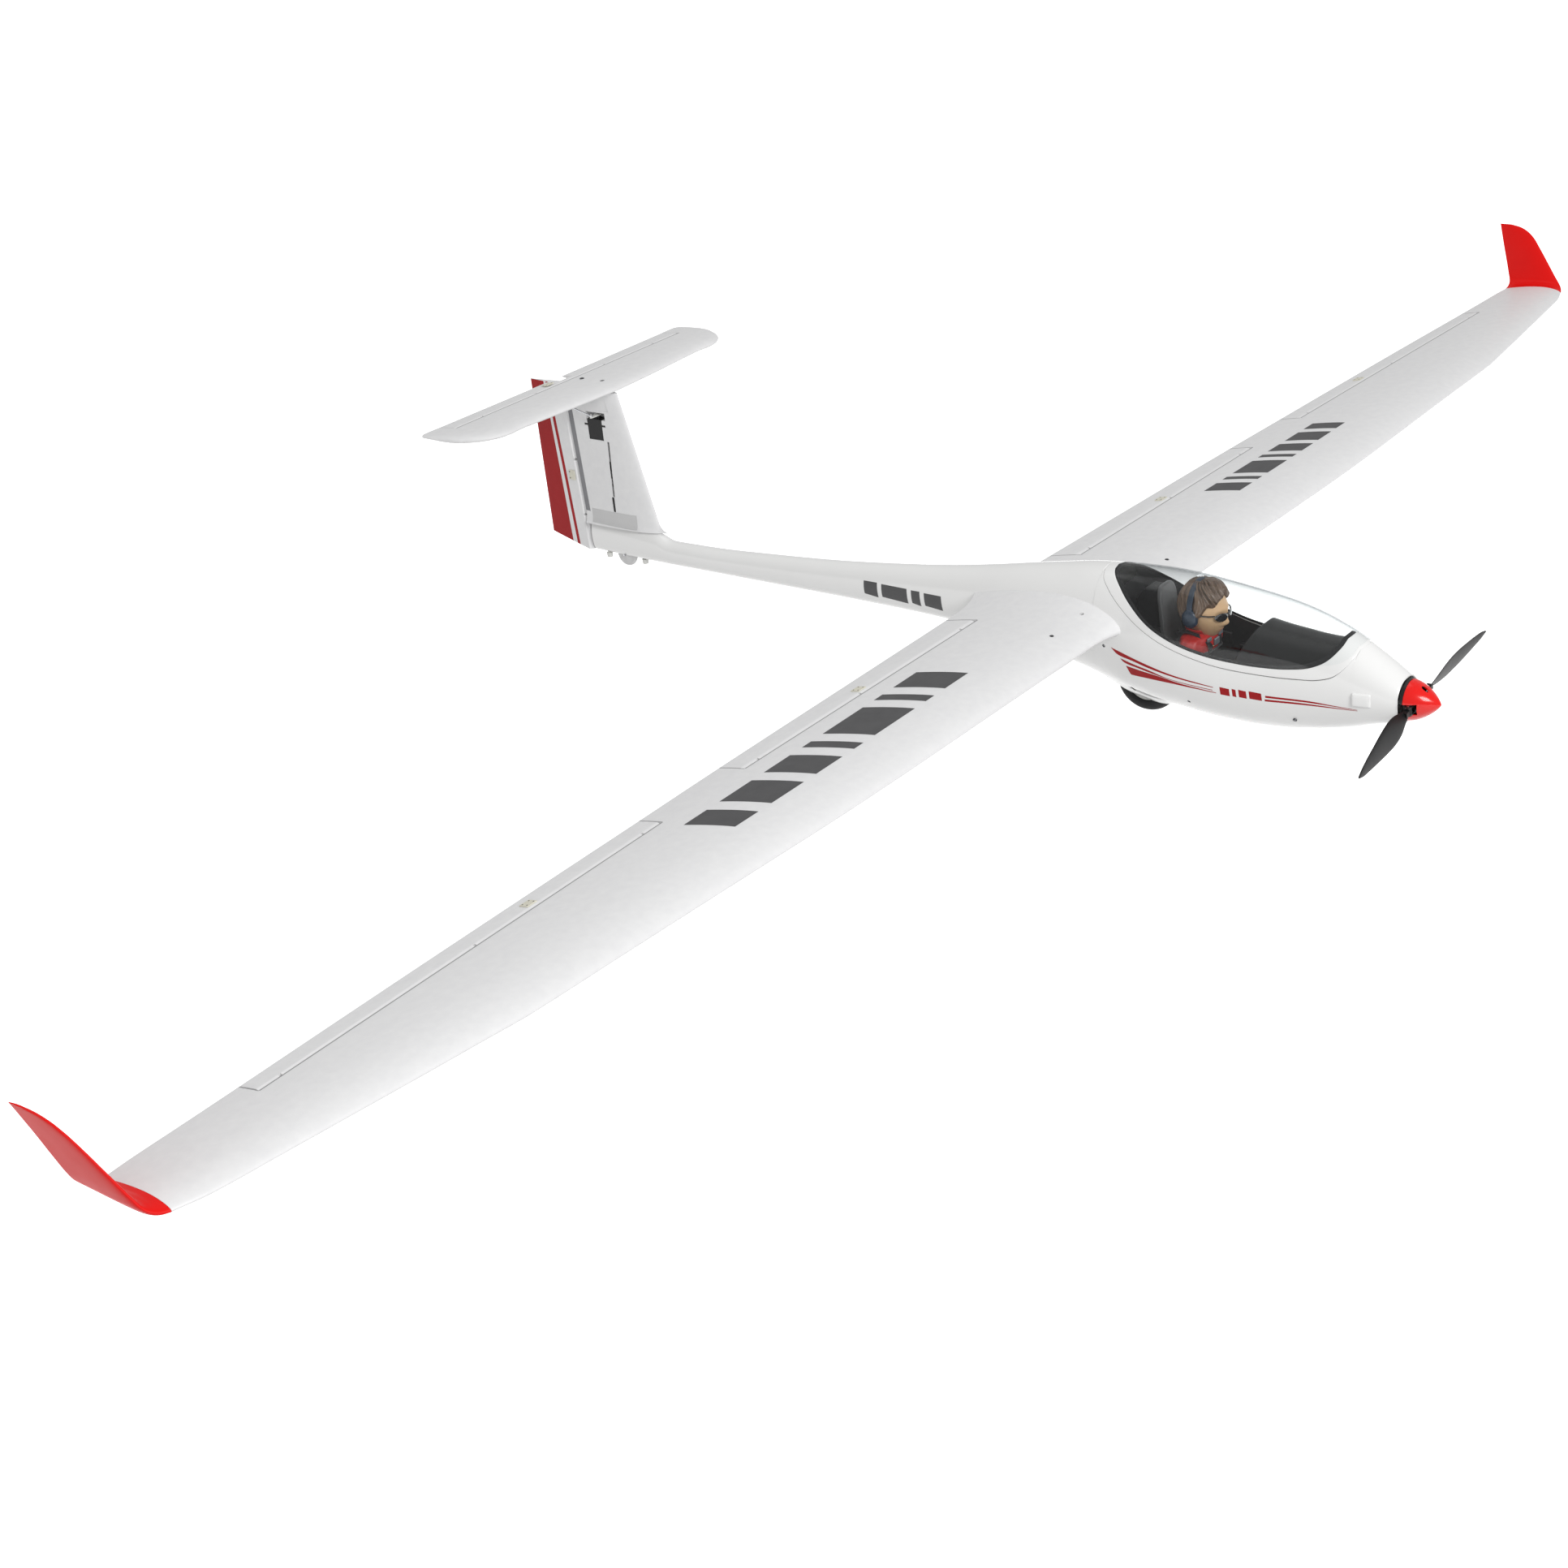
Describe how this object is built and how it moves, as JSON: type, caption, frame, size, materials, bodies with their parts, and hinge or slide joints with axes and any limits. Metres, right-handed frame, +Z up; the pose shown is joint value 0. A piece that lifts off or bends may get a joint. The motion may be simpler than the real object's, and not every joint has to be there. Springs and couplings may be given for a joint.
{
  "type": "rc glider",
  "caption": "Powered model sailplane: slim pod and boom body, long tapered wing with upswept red winglets, T-tail, folding nose propeller, clear canopy over a pilot bust",
  "frame": {"origin": "bottom centre of the bounding box, on the plane the main wheel's lowest point touches", "axes": "+X along the wing to the left tip, +Y from nose to tail, +Z up"},
  "size_m": [2.5388, 1.1734, 0.2812],
  "materials": {
    "shell_white": "gloss",
    "foam_white": "satin",
    "foam_red": "gloss",
    "red_plastic": "gloss",
    "black_plastic": "matte",
    "white_plastic": "satin",
    "ivory_plastic": "satin",
    "carbon": "gloss",
    "steel": "satin",
    "tyre": "matte",
    "clear": "gloss",
    "figure": "matte",
    "leather": "satin",
    "headset_plastic": "satin",
    "motor_can": "satin",
    "shrink_wrap": "gloss"
  },
  "bodies": {
    "airframe": {"fuselage": "shell_white", "cockpit_tub": "black_plastic", "seat": "leather", "instrument_hood": "black_plastic", "pilot": "figure", "headset": "headset_plastic", "motor": "motor_can", "esc": "shrink_wrap", "battery": "shrink_wrap", "receiver": "black_plastic", "wing_left": "foam_white", "wing_right": "foam_white", "spar_tube": "carbon", "winglet_left": "foam_red", "winglet_right": "foam_red", "wing_servos": "black_plastic", "fin": "foam_white", "stabilizer": "foam_white", "tail_servos": "black_plastic", "servo_lead": "black_plastic", "tail_pegs": "white_plastic", "axles": "steel", "screws": "steel"},
    "canopy": {"canopy_frame": "shell_white", "canopy_glass": "clear", "canopy_screws": "steel"},
    "prop": {"spinner": "red_plastic", "prop_hub": "black_plastic", "prop_shaft": "steel", "prop_pins": "steel"},
    "blade_a": {"blade_a": "carbon"},
    "blade_b": {"blade_b": "carbon"},
    "main_wheel": {"main_tyre": "tyre", "main_hub": "white_plastic"},
    "tail_wheel": {"tail_wheel": "white_plastic"},
    "aileron_left": {"aileron_left": "foam_white", "aileron_horn_left": "ivory_plastic"},
    "aileron_arm_left": {"aileron_arm_left": "white_plastic"},
    "aileron_rod_left": {"aileron_rod_left": "steel"},
    "aileron_right": {"aileron_right": "foam_white", "aileron_horn_right": "ivory_plastic"},
    "aileron_arm_right": {"aileron_arm_right": "white_plastic"},
    "aileron_rod_right": {"aileron_rod_right": "steel"},
    "flap_left": {"flap_left": "foam_white", "flap_horn_left": "ivory_plastic"},
    "flap_arm_left": {"flap_arm_left": "white_plastic"},
    "flap_rod_left": {"flap_rod_left": "steel"},
    "flap_right": {"flap_right": "foam_white", "flap_horn_right": "ivory_plastic"},
    "flap_arm_right": {"flap_arm_right": "white_plastic"},
    "flap_rod_right": {"flap_rod_right": "steel"},
    "elevator": {"elevator": "foam_white", "elevator_horn": "ivory_plastic"},
    "elevator_arm": {"elevator_arm": "white_plastic"},
    "elevator_rod": {"elevator_rod": "steel"},
    "rudder": {"rudder": "foam_white", "rudder_horn": "ivory_plastic"},
    "rudder_arm": {"rudder_arm": "white_plastic"},
    "rudder_rod": {"rudder_rod": "steel"}
  },
  "joints": [
    {"name": "prop_spin", "type": "hinge", "parent": "airframe", "child": "prop", "pos_m": [0, -0.55575, 0.0675], "axis": [0, 1, 0], "continuous": true},
    {"name": "blade_a_fold", "type": "hinge", "parent": "prop", "child": "blade_a", "pos_m": [0.0193, -0.56175, 0.07028], "axis": [-0.1426, 0, 0.9898], "range_deg": [0, 50]},
    {"name": "blade_b_fold", "type": "hinge", "parent": "prop", "child": "blade_b", "pos_m": [-0.0193, -0.56175, 0.06472], "axis": [0.1426, 0, -0.9898], "range_deg": [0, 50]},
    {"name": "main_wheel_spin", "type": "hinge", "parent": "airframe", "child": "main_wheel", "pos_m": [0, -0.26075, 0.035], "axis": [1, 0, 0], "continuous": true},
    {"name": "tail_wheel_spin", "type": "hinge", "parent": "airframe", "child": "tail_wheel", "pos_m": [0, 0.46625, 0.0639], "axis": [1, 0, 0], "continuous": true},
    {"name": "canopy_lift", "type": "slide", "parent": "airframe", "child": "canopy", "axis": [0, 0, 1], "range_m": [0, 0.12]},
    {"name": "aileron_left_hinge", "type": "hinge", "parent": "airframe", "child": "aileron_left", "pos_m": [0.775, -0.12136, 0.10847], "axis": [0.9996, -0.0284, -0.0006], "range_deg": [-20, 25]},
    {"name": "aileron_left_servo", "type": "hinge", "parent": "airframe", "child": "aileron_arm_left", "pos_m": [0.775, -0.17336, 0.10847], "axis": [0.9996, -0.0284, -0.0006], "range_deg": [-20, 25]},
    {"name": "aileron_left_link", "type": "hinge", "parent": "aileron_arm_left", "child": "aileron_rod_left", "pos_m": [0.775, -0.17336, 0.09647], "axis": [0.9996, -0.0284, -0.0006], "range_deg": [-25, 20]},
    {"name": "aileron_right_hinge", "type": "hinge", "parent": "airframe", "child": "aileron_right", "pos_m": [-0.775, -0.12136, 0.10847], "axis": [0.9996, 0.0284, 0.0006], "range_deg": [-20, 25]},
    {"name": "aileron_right_servo", "type": "hinge", "parent": "airframe", "child": "aileron_arm_right", "pos_m": [-0.775, -0.17336, 0.10847], "axis": [0.9996, 0.0284, 0.0006], "range_deg": [-20, 25]},
    {"name": "aileron_right_link", "type": "hinge", "parent": "aileron_arm_right", "child": "aileron_rod_right", "pos_m": [-0.775, -0.17336, 0.09647], "axis": [0.9996, 0.0284, 0.0006], "range_deg": [-25, 20]},
    {"name": "flap_left_hinge", "type": "hinge", "parent": "airframe", "child": "flap_left", "pos_m": [0.292, -0.11495, 0.10894], "axis": [1, -0.0026, -0.0012], "range_deg": [-35, 12]},
    {"name": "flap_left_servo", "type": "hinge", "parent": "airframe", "child": "flap_arm_left", "pos_m": [0.292, -0.16695, 0.10894], "axis": [1, -0.0026, -0.0012], "range_deg": [-35, 12]},
    {"name": "flap_left_link", "type": "hinge", "parent": "flap_arm_left", "child": "flap_rod_left", "pos_m": [0.292, -0.16695, 0.09694], "axis": [1, -0.0026, -0.0012], "range_deg": [-12, 35]},
    {"name": "flap_right_hinge", "type": "hinge", "parent": "airframe", "child": "flap_right", "pos_m": [-0.292, -0.11495, 0.10894], "axis": [1, 0.0026, 0.0012], "range_deg": [-35, 12]},
    {"name": "flap_right_servo", "type": "hinge", "parent": "airframe", "child": "flap_arm_right", "pos_m": [-0.292, -0.16695, 0.10894], "axis": [1, 0.0026, 0.0012], "range_deg": [-35, 12]},
    {"name": "flap_right_link", "type": "hinge", "parent": "flap_arm_right", "child": "flap_rod_right", "pos_m": [-0.292, -0.16695, 0.09694], "axis": [1, 0.0026, 0.0012], "range_deg": [-12, 35]},
    {"name": "elevator_hinge", "type": "hinge", "parent": "airframe", "child": "elevator", "pos_m": [0, 0.52085, 0.2751], "axis": [1, 0, 0], "range_deg": [-20, 20]},
    {"name": "elevator_servo", "type": "hinge", "parent": "airframe", "child": "elevator_arm", "pos_m": [0, 0.48225, 0.2335], "axis": [0, 0, 1], "range_deg": [-20, 20]},
    {"name": "elevator_link", "type": "hinge", "parent": "elevator_arm", "child": "elevator_rod", "pos_m": [-0.013, 0.48225, 0.2394], "axis": [0, 0, 1], "range_deg": [-20, 20]},
    {"name": "rudder_hinge", "type": "hinge", "parent": "airframe", "child": "rudder", "pos_m": [0, 0.527, 0.1575], "axis": [0, 0.057, 0.9984], "range_deg": [-25, 25]},
    {"name": "rudder_servo", "type": "hinge", "parent": "airframe", "child": "rudder_arm", "pos_m": [0, 0.48425, 0.1595], "axis": [0, 0.057, 0.9984], "range_deg": [-25, 25]},
    {"name": "rudder_link", "type": "hinge", "parent": "rudder_arm", "child": "rudder_rod", "pos_m": [0.013, 0.48459, 0.1654], "axis": [0, 0.057, 0.9984], "range_deg": [-25, 25]}
  ],
  "couplings": [
    {"joint": "aileron_left_servo", "follows": "aileron_left_hinge", "ratio": 1},
    {"joint": "aileron_left_link", "follows": "aileron_left_hinge", "ratio": -1},
    {"joint": "aileron_right_servo", "follows": "aileron_right_hinge", "ratio": 1},
    {"joint": "aileron_right_link", "follows": "aileron_right_hinge", "ratio": -1},
    {"joint": "flap_left_servo", "follows": "flap_left_hinge", "ratio": 1},
    {"joint": "flap_left_link", "follows": "flap_left_hinge", "ratio": -1},
    {"joint": "flap_right_servo", "follows": "flap_right_hinge", "ratio": 1},
    {"joint": "flap_right_link", "follows": "flap_right_hinge", "ratio": -1},
    {"joint": "elevator_servo", "follows": "elevator_hinge", "ratio": -0.92308},
    {"joint": "elevator_link", "follows": "elevator_hinge", "ratio": 0.92308},
    {"joint": "rudder_servo", "follows": "rudder_hinge", "ratio": 1},
    {"joint": "rudder_link", "follows": "rudder_hinge", "ratio": -1}
  ]
}
